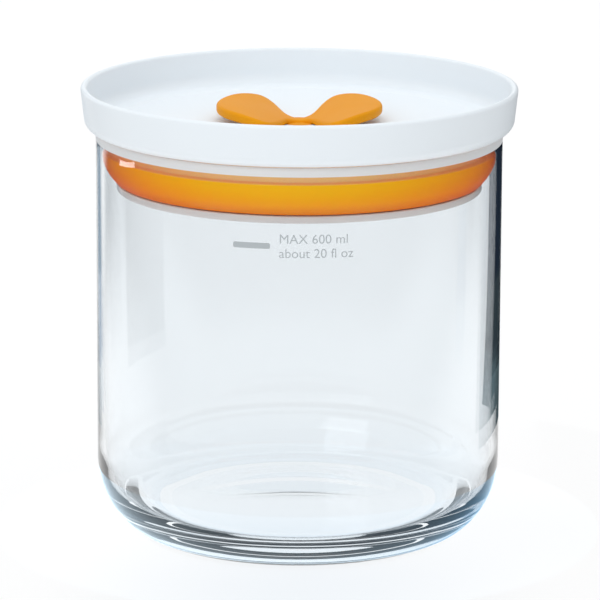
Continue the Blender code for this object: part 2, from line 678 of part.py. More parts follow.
def main():
    clear_scene()
    canister = new_collection("food_canister")
    tools = new_collection("cutters")
    glass = material("clear_glass", (0.93, 0.97, 0.98), 0.02, transmission=1.0)
    white = material("white_lid", (0.86, 0.89, 0.90), 0.35)
    orange = material("orange_knob", (0.90, 0.42, 0.04), 0.40)
    silicone = material("orange_silicone", (0.88, 0.36, 0.02), 0.50)
    clear = material("clear_plate", (0.80, 0.82, 0.84), 0.25, transmission=0.6)
    nylon = material("natural_nylon", (0.82, 0.81, 0.76), 0.45)
    steel = material("screw_steel", (0.62, 0.62, 0.64), 0.30, metallic=1.0)
    rubber = material("clear_rubber", (0.70, 0.70, 0.66), 0.50)

    make_jar(canister, glass)
    lid_axis = axis_empty("lid_axis", canister, angle=LID_SET_ANGLE)
    knob_axis = axis_empty("knob_axis", canister, parent=lid_axis)
    plate_axis = axis_empty("plate_axis", canister, parent=lid_axis)
    before = set(tools.objects)
    pieces = {
        lid_axis: [make_lid(canister, tools, white), make_seal(canister, silicone)],
        plate_axis: [make_plate(canister, tools, clear)],
        knob_axis: [
            make_knob(canister, tools, orange),
            make_sleeve(canister, tools, nylon),
            make_screw(canister, tools, steel),
            *make_small_rings(canister, nylon, steel, rubber),
        ],
    }
    for axis, members in pieces.items():
        for member in members:
            member.parent = axis
    for tool in set(tools.objects) - before:
        tool.parent = lid_axis


main()
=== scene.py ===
"""Looks of a glass food canister with a turn-to-seal lid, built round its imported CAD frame.

Metres, +Z up, with the front towards -Y and the origin on the jar's axis at the floor. Each
sub-assembly is a class with its sizes as fields. The visible pieces are built again here with
finer curves and rounded edges, and the small inner parts keep their CAD solids.
"""

import logging
import math
from collections.abc import Iterable, Sequence
from dataclasses import dataclass, fields, replace
from enum import Enum

import bmesh
import bpy
from mathutils import Matrix, Vector


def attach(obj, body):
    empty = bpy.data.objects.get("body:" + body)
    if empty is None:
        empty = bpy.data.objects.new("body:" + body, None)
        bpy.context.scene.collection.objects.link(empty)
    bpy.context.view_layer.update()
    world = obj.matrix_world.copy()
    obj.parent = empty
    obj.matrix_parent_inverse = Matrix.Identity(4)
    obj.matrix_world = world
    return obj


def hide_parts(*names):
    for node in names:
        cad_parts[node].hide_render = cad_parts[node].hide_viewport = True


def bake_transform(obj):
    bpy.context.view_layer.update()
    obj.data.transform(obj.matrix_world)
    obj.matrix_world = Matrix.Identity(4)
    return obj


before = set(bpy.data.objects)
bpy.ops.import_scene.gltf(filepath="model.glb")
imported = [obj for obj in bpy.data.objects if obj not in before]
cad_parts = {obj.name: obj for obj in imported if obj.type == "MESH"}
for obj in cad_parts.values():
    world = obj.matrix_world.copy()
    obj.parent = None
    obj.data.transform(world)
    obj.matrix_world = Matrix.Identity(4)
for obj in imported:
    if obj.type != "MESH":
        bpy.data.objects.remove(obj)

Point = tuple[float, float]
Span = tuple[float, float]
Outline = list[Point]
Place = tuple[float, float, float]
Colour = tuple[float, float, float]

log = logging.getLogger("canister")

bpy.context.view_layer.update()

SEGMENTS = 192
SMALL_SEGMENTS = 64
MERGE = 1e-6
SMOOTH_ANGLE = math.radians(38)
CORNER_SHARE = 0.45

# Sizes that several pieces share. The lid, with all that it carries, sits turned by its set angle.
TRAY_FLOOR = 0.1089
RUNNING_GAP = 0.0003
SEAT_GAP = 0.0003
LID_SET_ANGLE = math.radians(0.9)


class Body(Enum):
    """The bodies of the frame that a piece can ride on."""

    JAR = "jar"
    LID = "lid"
    KNOB = "knob"
    PLATE = "plate"


class Slot(Enum):
    """The record's material slots."""

    GLASS = "clear_glass"
    WHITE = "white_lid"
    ORANGE = "orange_knob"
    SILICONE = "orange_silicone"
    CLEAR = "clear_plate"
    NYLON = "natural_nylon"
    STEEL = "screw_steel"
    RUBBER = "clear_rubber"
    NONE = ""


class Cut(Enum):
    """How a tool changes a piece."""

    ADD = "UNION"
    REMOVE = "DIFFERENCE"


# Outlines


def arc(centre: Point, radii: Point, start: float, end: float, steps: int) -> Outline:
    """Points on part of an ellipse.

    Args:
        centre: The ellipse's centre as (r, z).
        radii: Its half-sizes along r and z.
        start: The first angle in degrees, from +r towards +z.
        end: The last angle in degrees.
        steps: How many steps to take between them.

    Returns:
        The points in order, both ends included.
    """
    angles = (math.radians(start + (end - start) * step / steps) for step in range(steps + 1))
    return [(centre[0] + radii[0] * math.cos(a), centre[1] + radii[1] * math.sin(a)) for a in angles]


def full_corner(centre: Point, radii: Point, power: float, steps: int) -> Outline:
    """Points on the lower outer quarter of a superellipse, from its foot to its side.

    Args:
        centre: The superellipse's centre as (r, z).
        radii: Its half-sizes along r and z.
        power: Its power: 2 gives an ellipse, and more gives a fuller corner.
        steps: How many steps to take.

    Returns:
        The points in order, both ends included.
    """
    share = 2 / power
    angles = [math.pi / 2 * step / steps for step in range(steps + 1)]
    across = [centre[0] + radii[0] * math.sin(angle) ** share for angle in angles]
    up = [centre[1] - radii[1] * math.cos(angle) ** share for angle in angles]
    return list(zip(across, up))


def bend(controls: Sequence[Point], steps: int) -> Outline:
    """Points on the Bezier curve of some control points.

    Args:
        controls: The control points.
        steps: How many steps to take from the first to the last.

    Returns:
        The points in order, both ends included.
    """
    order = len(controls) - 1
    curve = []
    for step in range(steps + 1):
        t = step / steps
        weights = [math.comb(order, k) * t**k * (1 - t) ** (order - k) for k in range(order + 1)]
        curve.append(tuple(sum(w * p[axis] for w, p in zip(weights, controls)) for axis in (0, 1)))
    return curve


def rounded(outline: Outline, radius: float, steps: int = 3, sharpest: float = 30.0) -> Outline:
    """Rounds the corners of a closed outline that turn by more than an angle.

    Args:
        outline: The closed outline.
        radius: The length of edge given up on each side of a corner.
        steps: How many steps the rounding takes.
        sharpest: Corners that turn by less than this many degrees are kept.

    Returns:
        The outline with each such corner replaced by a short curve.
    """
    soft = []
    count = len(outline)
    for index, corner in enumerate(outline):
        here = Vector(corner)
        back = Vector(outline[index - 1]) - here
        ahead = Vector(outline[(index + 1) % count]) - here
        turn = 180.0 - math.degrees(back.angle(ahead))
        if turn < sharpest:
            soft.append(corner)
            continue
        reach = min(radius, CORNER_SHARE * back.length, CORNER_SHARE * ahead.length)
        first = here + back.normalized() * reach
        last = here + ahead.normalized() * reach
        soft += bend([tuple(first), corner, tuple(last)], steps)
    return soft


# Meshes


def into_scene(name: str, data: bpy.types.ID) -> bpy.types.Object:
    """Makes an object that holds some data, and links it to the scene."""
    made = bpy.data.objects.new(name, data)
    bpy.context.scene.collection.objects.link(made)
    return made


def new_object(name: str, shape: bmesh.types.BMesh) -> bpy.types.Object:
    """Turns a finished bmesh into an object of the scene and frees it."""
    mesh = bpy.data.meshes.new(name)
    shape.to_mesh(mesh)
    shape.free()
    return into_scene(name, mesh)


def made_mesh(source: bpy.types.Object) -> bpy.types.Mesh:
    """The mesh that an object's curve or modifiers make."""
    bpy.context.view_layer.update()
    evaluated = source.evaluated_get(bpy.context.evaluated_depsgraph_get())
    return bpy.data.meshes.new_from_object(evaluated)


def mesh_of_curve(name: str, curve: bpy.types.Curve) -> bpy.types.Mesh:
    """Turns a curve or a text into a mesh."""
    guide = into_scene(name, curve)
    mesh = made_mesh(guide)
    bpy.data.objects.remove(guide, do_unlink=True)
    return mesh


def lathe(name: str, outline: Outline, closed: bool = False, segments: int = SEGMENTS) -> bpy.types.Object:
    """Turns an outline round +Z into a solid.

    Args:
        name: The new object's name.
        outline: Points (r, z). An open outline starts and ends on the axis.
        closed: Whether the last point joins the first.
        segments: How many steps a full turn takes.

    Returns:
        The solid, with its normals facing out.
    """
    shape = bmesh.new()
    rings = []
    for r, z in outline:
        if r < MERGE:
            rings.append([shape.verts.new((0.0, 0.0, z))])
            continue
        turns = (2 * math.pi * step / segments for step in range(segments))
        rings.append([shape.verts.new((r * math.cos(a), r * math.sin(a), z)) for a in turns])
    pairs = list(zip(rings, rings[1:]))
    if closed:
        pairs.append((rings[-1], rings[0]))
    for upper, lower in pairs:
        for step in range(segments):
            following = (step + 1) % segments
            corners = [upper[step % len(upper)], upper[following % len(upper)]]
            corners += [lower[following % len(lower)], lower[step % len(lower)]]
            shape.faces.new(list(dict.fromkeys(corners)))
    bmesh.ops.recalc_face_normals(shape, faces=shape.faces)
    return new_object(name, shape)


def strip(pairs: Iterable[Sequence[Sequence[float]]]) -> bmesh.types.BMesh:
    """Makes a strip of faces between pairs of points that follow one another."""
    shape = bmesh.new()
    ends = [[shape.verts.new(point) for point in pair] for pair in pairs]
    for (near, far), (next_near, next_far) in zip(ends, ends[1:]):
        shape.faces.new((near, next_near, next_far, far))
    return shape


def disc(radius: float, height: float = 0.0) -> bmesh.types.BMesh:
    """Makes a level disc about the axis."""
    shape = bmesh.new()
    bmesh.ops.create_circle(shape, cap_ends=True, segments=SMALL_SEGMENTS, radius=radius)
    bmesh.ops.translate(shape, verts=shape.verts, vec=(0.0, 0.0, height))
    return shape


@dataclass(frozen=True)
class Spoke:
    """A bar that lies along the radius."""

    inner: float
    outer: float
    width: float
    low: float
    high: float

    def place(self, name: str, angles: Iterable[float], rounding: float = 0.0) -> bpy.types.Object:
        """Sets the bar at some angles.

        Args:
            name: The new object's name.
            angles: The bars' angles about +Z.
            rounding: The radius of their edges, or 0 for sharp ones.

        Returns:
            One object that holds all the bars.
        """
        shape = bmesh.new()
        scale = Matrix.Diagonal((self.outer - self.inner, self.width, self.high - self.low, 1.0))
        centre = Matrix.Translation(((self.inner + self.outer) / 2, 0.0, (self.high + self.low) / 2))
        for angle in angles:
            turn = Matrix.Rotation(angle, 4, "Z")
            made = bmesh.ops.create_cube(shape, size=1.0, matrix=turn @ centre @ scale)
            if rounding:
                edges = {edge for corner in made["verts"] for edge in corner.link_edges}
                bmesh.ops.bevel(
                    shape, geom=list(edges), offset=rounding, segments=2, affect="EDGES", profile=0.5,
                )
        return new_object(name, shape)


def carve(target: bpy.types.Object, *tools: tuple[bpy.types.Object, Cut]) -> None:
    """Adds tools to a piece or takes them from it, applies the result and removes the tools.

    Args:
        target: The piece to change.
        tools: Each tool with what it does.
    """
    for tool, cut in tools:
        step = target.modifiers.new(tool.name, "BOOLEAN")
        step.operation = cut.value
        step.solver = "EXACT"
        step.object = tool
    shaped = made_mesh(target)
    target.modifiers.clear()
    target.data = shaped
    for tool, _ in tools:
        bpy.data.objects.remove(tool, do_unlink=True)


def around(count: int, start: float = 0.0) -> list[float]:
    """Equal angles round the axis, from a starting angle."""
    return [start + 2 * math.pi * step / count for step in range(count)]


def turn_mesh(piece: bpy.types.Object, angle: float) -> None:
    """Turns a piece's mesh about +Z, and leaves its object where it is."""
    piece.data.transform(Matrix.Rotation(angle, 4, "Z"))


def smooth(piece: bpy.types.Object) -> None:
    """Shades a piece smooth, with its sharp edges kept."""
    piece.data.shade_smooth()
    piece.data.set_sharp_from_angle(angle=SMOOTH_ANGLE)


# Effects that several finishes use


class Group:
    """A shader node group in the making, with its nodes by name."""

    def __init__(self, name: str, inputs: dict[str, float], output: str) -> None:
        """Starts the group.

        Args:
            name: The group's name.
            inputs: Its inputs, with their starting values.
            output: The name of its one output.
        """
        self.tree = bpy.data.node_groups.new(name, "ShaderNodeTree")
        for socket, value in inputs.items():
            made = self.tree.interface.new_socket(socket, in_out="INPUT", socket_type="NodeSocketFloat")
            made.default_value = value
        self.tree.interface.new_socket(output, in_out="OUTPUT", socket_type="NodeSocketFloat")
        self.tree.nodes.new("NodeGroupInput").name = "in"
        self.tree.nodes.new("NodeGroupOutput").name = "out"
        self.tree.nodes.new("ShaderNodeTexCoord").name = "place"

    def add(self, name: str, kind: str, values: dict[str, float] | None = None, **settings: str) -> None:
        """Adds a node.

        Args:
            name: Its name in the group.
            kind: What kind of shader node it is.
            values: The values of its own inputs, by name.
            settings: Its settings, such as its operation.
        """
        node = self.tree.nodes.new(f"ShaderNode{kind}")
        node.name = name
        for setting, choice in settings.items():
            setattr(node, setting, choice)
        for socket, value in (values or {}).items():
            node.inputs[socket].default_value = value

    def join(self, *links: str) -> bpy.types.NodeTree:
        """Joins sockets of the group's nodes.

        Args:
            links: The links, each as "node.Output > node.Input", with a number for an unnamed input.

        Returns:
            The group's tree.
        """
        for link in links:
            (source, output), (target, entry) = (end.split(".") for end in link.split(" > "))
            start = self.tree.nodes[source].outputs[output]
            end = self.tree.nodes[target].inputs[int(entry) if entry.isdigit() else entry]
            self.tree.links.new(start, end)
        return self.tree


class Effects:
    """Shader node groups, each built once and placed in a material with its own values."""

    # The heading's Y where the fan passes from its front to its sides, and where it fades behind.
    SIDE_TURN: Span = (-0.5, 0.4)
    BACK_FADE: Span = (0.80, 0.68)

    def __init__(self) -> None:
        """Builds the groups."""
        self.grain = self._grain()
        self.smudges = self._smudges()
        self.ripples = self._ripples()
        self.height_share = self._height_share()
        self.round_shade = self._round_shade()
        self.front_fan = self._front_fan()

    @staticmethod
    def _grain() -> bpy.types.NodeTree:
        """The fine spark-eroded grain of a moulded face, as a height."""
        group = Group("moulded_grain", {"Scale": 4000.0}, "Height")
        group.add("noise", "TexNoise", {"Detail": 3.0, "Roughness": 0.6})
        return group.join(
            "place.Object > noise.Vector", "in.Scale > noise.Scale", "noise.Fac > out.Height",
        )

    @staticmethod
    def _smudges() -> bpy.types.NodeTree:
        """Soft uneven sheen from handling and moulding, as a roughness."""
        group = Group("handling_sheen", {"Scale": 40.0, "Clean": 0.2, "Dull": 0.3}, "Roughness")
        group.add("noise", "TexNoise", {"Detail": 4.0, "Distortion": 0.6})
        group.add("spread", "MapRange", {"From Min": 0.35, "From Max": 0.7})
        return group.join(
            "place.Object > noise.Vector", "in.Scale > noise.Scale", "noise.Fac > spread.Value",
            "in.Clean > spread.To Min", "in.Dull > spread.To Max", "spread.Result > out.Roughness",
        )

    @staticmethod
    def _ripples() -> bpy.types.NodeTree:
        """Long soft ripples that run up a pressed or turned wall, as a height."""
        group = Group("wall_ripples", {"Scale": 60.0, "Stretch": 0.2}, "Height")
        group.add("apart", "SeparateXYZ")
        group.add("along", "Math", operation="MULTIPLY")
        group.add("joined", "CombineXYZ")
        group.add("noise", "TexNoise", {"Detail": 1.0})
        return group.join(
            "place.Object > apart.Vector", "apart.X > joined.X", "apart.Y > joined.Y",
            "apart.Z > along.0", "in.Stretch > along.1", "along.Value > joined.Z",
            "joined.Vector > noise.Vector", "in.Scale > noise.Scale", "noise.Fac > out.Height",
        )

    @staticmethod
    def _height_share() -> bpy.types.NodeTree:
        """How far up a piece a point is, as a mask that goes from 0 at Low to 1 at High."""
        group = Group("height_share", {"Low": 0.0, "High": 0.1}, "Share")
        group.add("apart", "SeparateXYZ")
        group.add("spread", "MapRange")
        return group.join(
            "place.Object > apart.Vector", "apart.Z > spread.Value", "in.Low > spread.From Min",
            "in.High > spread.From Max", "spread.Result > out.Share",
        )

    @staticmethod
    def _round_shade() -> bpy.types.NodeTree:
        """How deep in a soft round patch a point is, as a mask that is 1 at (X, Y) and 0 at Reach: the
        floor's painted shade and the heel's deeper painted reflection.
        """
        group = Group("round_shade", {"X": 0.0, "Y": 0.0, "Reach": 0.1}, "Shade")
        group.add("centre", "CombineXYZ")
        group.add("apart", "VectorMath", operation="DISTANCE")
        group.add("spread", "MapRange", {"To Min": 1.0, "To Max": 0.0}, interpolation_type="SMOOTHSTEP")
        return group.join(
            "in.X > centre.X", "in.Y > centre.Y", "place.Object > apart.0", "centre.Vector > apart.1",
            "apart.Value > spread.Value", "in.Reach > spread.From Max", "spread.Result > out.Shade",
        )

    def _front_fan(self) -> bpy.types.NodeTree:
        """A mask that grows from 0 at Near to 1 at Far at the front and the sides, but not behind."""
        inputs = {"FrontNear": 0.1, "FrontFar": 0.2, "SideNear": 0.3, "SideFar": 0.4}
        group = Group("front_fan", inputs, "Fan")
        group.add("reach", "VectorMath", operation="LENGTH")
        group.add("heading", "VectorMath", operation="NORMALIZE")
        group.add("parts", "SeparateXYZ")
        group.add("ring", "MapRange", interpolation_type="SMOOTHSTEP")
        turns = {"near": self.SIDE_TURN, "far": self.SIDE_TURN, "back": self.BACK_FADE}
        for name, (start, end) in turns.items():
            steps = {"From Min": start, "From Max": end}
            group.add(name, "MapRange", steps, interpolation_type="SMOOTHSTEP")
        group.add("both", "Math", operation="MULTIPLY")
        return group.join(
            "place.Object > reach.0", "place.Object > heading.0", "heading.Vector > parts.Vector",
            "parts.Y > near.Value", "in.FrontNear > near.To Min", "in.SideNear > near.To Max",
            "parts.Y > far.Value", "in.FrontFar > far.To Min", "in.SideFar > far.To Max",
            "reach.Value > ring.Value", "near.Result > ring.From Min", "far.Result > ring.From Max",
            "parts.Y > back.Value", "ring.Result > both.0", "back.Result > both.1",
            "both.Value > out.Fan",
        )


class Surface:
    """A material in the making: a Principled shader and what feeds its sockets."""

    def __init__(self, name: str, settings: dict[str, float | tuple]) -> None:
        """Starts the material.

        Args:
            name: The material's name.
            settings: The shader's own sockets, by name.
        """
        self.material = bpy.data.materials.new(name)
        self.material.use_nodes = True
        self.nodes = self.material.node_tree.nodes
        self.shader = self.nodes["Principled BSDF"]
        for socket, value in settings.items():
            self.shader.inputs[socket].default_value = (*value, 1.0) if socket.endswith("Color") else value

    def join(self, source: bpy.types.NodeSocket, target: bpy.types.NodeSocket) -> None:
        """Joins an output to an input."""
        self.material.node_tree.links.new(source, target)

    def feed(self, socket: str, source: bpy.types.NodeSocket) -> None:
        """Feeds an output to the shader's socket of a name."""
        self.join(source, self.shader.inputs[socket])

    def effect(self, tree: bpy.types.NodeTree, **values: float) -> bpy.types.NodeSocket:
        """Places an effect.

        Args:
            tree: The effect's group.
            values: The group's inputs, by name.

        Returns:
            The effect's output.
        """
        node = self.nodes.new("ShaderNodeGroup")
        node.node_tree = tree
        for name, value in values.items():
            node.inputs[name].default_value = value
        return node.outputs[0]

    def ramp(self, share: bpy.types.NodeSocket, *stops: tuple[float, Colour]) -> bpy.types.NodeSocket:
        """Turns a share into a colour.

        Args:
            share: The share, from 0 to 1.
            stops: The colours, each with the share that it stands at.

        Returns:
            The colour.
        """
        ramp = self.nodes.new("ShaderNodeValToRGB")
        elements = ramp.color_ramp.elements
        for index, (place, colour) in enumerate(stops):
            stop = elements[index] if index < len(elements) else elements.new(place)
            stop.position = place
            stop.color = (*colour, 1.0)
        self.join(share, ramp.inputs["Fac"])
        return ramp.outputs["Color"]

    def relief(self, height: bpy.types.NodeSocket, distance: float) -> None:
        """Feeds a height that reaches a distance, through a Bump node, to the shader's normal."""
        bump = self.nodes.new("ShaderNodeBump")
        bump.inputs["Distance"].default_value = distance
        self.join(height, bump.inputs["Height"])
        self.feed("Normal", bump.outputs["Normal"])


# Finishes


SOCKETS: dict[str, str] = {
    "colour": "Base Color",
    "metallic": "Metallic",
    "ior": "IOR",
    "transmission": "Transmission Weight",
    "subsurface": "Subsurface Weight",
    "subsurface_radius": "Subsurface Radius",
    "subsurface_scale": "Subsurface Scale",
    "specular": "Specular IOR Level",
}


@dataclass(frozen=True)
class Finish:
    """A material whose sheen runs unevenly from clean to dull, and whose face has a fine grain.

    A field that SOCKETS names sets the shader's own socket of that name.
    """

    name: str
    clean: float
    dull: float
    sheen_scale: float = 35.0
    grain_scale: float = 4500.0
    grain_depth: float = 0.000006

    def tint(self, surface: Surface, effects: Effects) -> None:
        """Feeds a colour that changes over the surface, where a finish has one."""

    def relief(self, surface: Surface, effects: Effects) -> None:
        """Gives the surface its grain."""
        surface.relief(surface.effect(effects.grain, Scale=self.grain_scale), self.grain_depth)

    def build(self, effects: Effects) -> bpy.types.Material:
        """Makes the material."""
        named = [field.name for field in fields(self) if field.name in SOCKETS]
        surface = Surface(self.name, {SOCKETS[name]: getattr(self, name) for name in named})
        self.tint(surface, effects)
        sheen = surface.effect(effects.smudges, Scale=self.sheen_scale, Clean=self.clean, Dull=self.dull)
        surface.feed("Roughness", sheen)
        self.relief(surface, effects)
        return surface.material


@dataclass(frozen=True, kw_only=True)
class MouldedPlastic(Finish):
    """An opaque moulded plastic."""

    colour: Colour
    subsurface: float = 0.0
    subsurface_radius: tuple[float, float, float] = (1.0, 1.0, 1.0)
    subsurface_scale: float = 0.001
    specular: float = 0.5


@dataclass(frozen=True, kw_only=True)
class BandedSilicone(Finish):
    """Translucent silicone in bands of colour by height, deeper where it turns away."""

    bands: tuple[tuple[float, Colour], ...]
    top: float
    turned_away: Colour
    subsurface: float = 0.4
    subsurface_radius: tuple[float, float, float] = (1.0, 0.4, 0.08)
    subsurface_scale: float = 0.0015
    specular: float = 0.1

    def tint(self, surface: Surface, effects: Effects) -> None:
        """Feeds the bands' colours, multiplied by another one where the surface turns away."""
        low = self.bands[0][0]
        stops = [((height - low) / (self.top - low), colour) for height, colour in self.bands]
        banded = surface.ramp(surface.effect(effects.height_share, Low=low, High=self.top), *stops)
        facing = surface.nodes.new("ShaderNodeLayerWeight")
        deepen = surface.nodes.new("ShaderNodeMix")
        deepen.data_type = "RGBA"
        deepen.blend_type = "MULTIPLY"
        face_on, turned = (socket for socket in deepen.inputs if socket.type == "RGBA")
        turned.default_value = (*self.turned_away, 1.0)
        surface.join(facing.outputs["Facing"], deepen.inputs["Factor"])
        surface.join(banded, face_on)
        surface.feed("Base Color", next(socket for socket in deepen.outputs if socket.type == "RGBA"))


@dataclass(frozen=True, kw_only=True)
class ClearSolid(Finish):
    """A clear solid such as glass or clear plastic, with soft ripples in its surface."""

    colour: Colour
    ior: float
    transmission: float = 1.0
    foot_colour: Colour | None = None
    foot_height: float = 0.0
    sheen_scale: float = 25.0
    ripple_depth: float
    ripple_scale: float
    ripple_stretch: float

    def tint(self, surface: Surface, effects: Effects) -> None:
        """Feeds the foot's colour, which fades upwards, where there is one."""
        if self.foot_colour is not None:
            share = surface.effect(effects.height_share, Low=0.0, High=self.foot_height)
            surface.feed("Base Color", surface.ramp(share, (0.0, self.foot_colour), (1.0, self.colour)))

    def relief(self, surface: Surface, effects: Effects) -> None:
        """Gives the surface its ripples."""
        ripples = surface.effect(effects.ripples, Scale=self.ripple_scale, Stretch=self.ripple_stretch)
        surface.relief(ripples, self.ripple_depth)


@dataclass(frozen=True, kw_only=True)
class TurnedSteel(Finish):
    """Bright stainless steel with fine turning marks."""

    colour: Colour
    metallic: float = 1.0
    sheen_scale: float = 300.0
    grain_scale: float = 3000.0
    grain_depth: float = 0.000004


GLASS = ClearSolid(
    "pressed_glass", clean=0.0, dull=0.006, colour=(0.952, 0.978, 0.995), ior=1.51,
    ripple_depth=0.00002, ripple_scale=45.0, ripple_stretch=0.25,
)
HEEL_GLASS = replace(GLASS, name="pressed_glass_heel", foot_colour=(0.84, 0.92, 0.98), foot_height=0.019)
GROUND_LIP = replace(
    GLASS, name="ground_lip", clean=0.45, dull=0.6, colour=(0.75, 0.775, 0.79), transmission=0.06,
    ripple_depth=0.00001, ripple_scale=600.0, ripple_stretch=1.0,
)
CLEAR_PLATE = ClearSolid(
    "clear_plastic", clean=0.10, dull=0.20, colour=(0.98, 0.92, 0.89), ior=1.50, transmission=0.35,
    ripple_depth=0.00001, ripple_scale=80.0, ripple_stretch=1.0,
)
WHITE_LID = MouldedPlastic(
    "white_plastic", clean=0.30, dull=0.38, colour=(0.84, 0.89, 0.93), subsurface=0.1, specular=0.15,
)
ORANGE_KNOB = MouldedPlastic(
    "orange_plastic", clean=0.42, dull=0.50, colour=(0.80, 0.315, 0.008), subsurface=0.05,
    subsurface_radius=(1.0, 0.35, 0.1), specular=0.05,
)
SILICONE = BandedSilicone(
    "orange_silicone_rubber", clean=0.35, dull=0.5, grain_depth=0.000003,
    bands=(
        (0.0940, (0.82, 0.31, 0.002)),
        (0.0970, (0.97, 0.46, 0.004)),
        (0.1023, (0.97, 0.51, 0.003)),
        (0.1027, (0.88, 0.53, 0.215)),
    ),
    top=0.1030, turned_away=(0.96, 0.20, 0.0),
)
NYLON = MouldedPlastic(
    "natural_nylon_plastic", clean=0.40, dull=0.50, colour=(0.80, 0.79, 0.73), subsurface=0.2,
)
RUBBER = MouldedPlastic(
    "clear_o_ring_rubber", clean=0.40, dull=0.50, colour=(0.62, 0.62, 0.58), subsurface=0.3,
)
STEEL = TurnedSteel("stainless_steel", clean=0.18, dull=0.30, colour=(0.62, 0.62, 0.64))
PRINT = MouldedPlastic("grey_print", clean=0.45, dull=0.55, colour=(0.45, 0.49, 0.51))


def settle(
    piece: bpy.types.Object, body: Body, material: bpy.types.Material, slot: Slot, *replaced: str,
) -> bpy.types.Object:
    """Finishes a piece: its material, the body that it rides on and the CAD nodes it stands for.

    Args:
        piece: The piece.
        body: The body that it rides on.
        material: Its material.
        slot: The record's slot that the finish comes from; not used.
        replaced: The CAD nodes that it stands for.

    Returns:
        The piece.
    """
    piece.data.materials.clear()
    piece.data.materials.append(material)
    smooth(piece)
    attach(piece, body.value)
    if replaced:
        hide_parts(*replaced)
    log.info("%s rides on %s: %d faces", piece.name, body.value, len(piece.data.polygons))
    return piece


# The canister's sub-assemblies


@dataclass
class GlassJar:
    """The pressed glass canister: a thin wall that thickens downwards into a heavy rounded base.

    The lip is ground matt. Light that only shades passes straight through the glass, so that the
    inside isn't in a false shadow.
    """

    radius: float = 0.0530
    height: float = 0.1070
    lip_wall: float = 0.0014
    foot_wall: float = 0.00195
    lip_drop: float = 0.00225
    lip_rounding: float = 0.0009
    inner_rounding: float = 0.0004
    heel_width: float = 0.0157
    heel_height: float = 0.0203
    foot_width: float = 0.0032
    punt_depth: float = 0.0012
    punt_steps: int = 16
    floor: float = 0.0079
    floor_steps: int = 8
    corner_width: float = 0.0099
    corner_height: float = 0.0165
    corner_power: float = 2.5
    inner_steps: int = 24
    outer_steps: int = 12

    def wall(self, height: float) -> float:
        """Thickness of the wall at a height."""
        span = self.height - self.floor - self.corner_height
        return self.lip_wall + (self.foot_wall - self.lip_wall) * ((self.height - height) / span) ** 3

    def outline(self) -> Outline:
        """The jar's section: the inside from the middle up to the lip, and the outside back down."""
        foot = self.radius - self.heel_width
        corner = self.radius - self.foot_wall - self.corner_width
        corner_top = self.floor + self.corner_height
        inner_top = self.height - self.inner_rounding
        bore = self.radius - self.lip_wall
        points = [(corner * step / self.floor_steps, self.floor) for step in range(self.floor_steps)]
        radii = (self.corner_width, self.corner_height)
        points += full_corner((corner, corner_top), radii, self.corner_power, steps=24)
        for step in range(1, self.inner_steps):
            height = corner_top + (inner_top - corner_top) * step / self.inner_steps
            points.append((self.radius - self.wall(height), height))
        inner = (self.inner_rounding, self.inner_rounding)
        points += arc((bore + self.inner_rounding, inner_top), inner, 180, 90, steps=5)
        lip = (self.lip_rounding, self.lip_drop)
        points += arc((self.radius - self.lip_rounding, self.height - self.lip_drop), lip, 90, 0, steps=20)
        side = self.height - self.lip_drop - self.heel_height
        for step in range(1, self.outer_steps):
            points.append((self.radius, self.heel_height + side * (1 - step / self.outer_steps)))
        points += arc((foot, self.heel_height), (self.heel_width, self.heel_height), 0, -90, steps=32)
        ring = foot - self.foot_width
        for step in range(self.punt_steps + 1):
            share = step / self.punt_steps
            points.append((ring * (1 - share), self.punt_depth * math.sin(math.pi / 2 * share) ** 2))
        return points

    def build(self, effects: Effects) -> bpy.types.Object:
        """Builds the jar, clear but for its ground lip and the tinted underside of its heel."""
        jar = lathe("glass_body", self.outline())
        settle(jar, Body.JAR, GLASS.build(effects), Slot.GLASS, "glass_jar")
        for finish in (GROUND_LIP, HEEL_GLASS):
            jar.data.materials.append(finish.build(effects))
        clear_slot, lip_slot, heel_slot = range(3)
        lip_radius = self.radius - self.lip_rounding
        lip_low = self.height - self.lip_drop
        foot = self.radius - self.heel_width
        for face in jar.data.polygons:
            out = math.hypot(face.center.x, face.center.y)
            on_lip = out > lip_radius and face.center.z > lip_low
            on_heel = out > foot and face.center.z < HEEL_GLASS.foot_height and face.normal.z < 0
            face.material_index = lip_slot if on_lip else heel_slot if on_heel else clear_slot
        jar.visible_shadow = False
        jar.visible_diffuse = False
        return jar


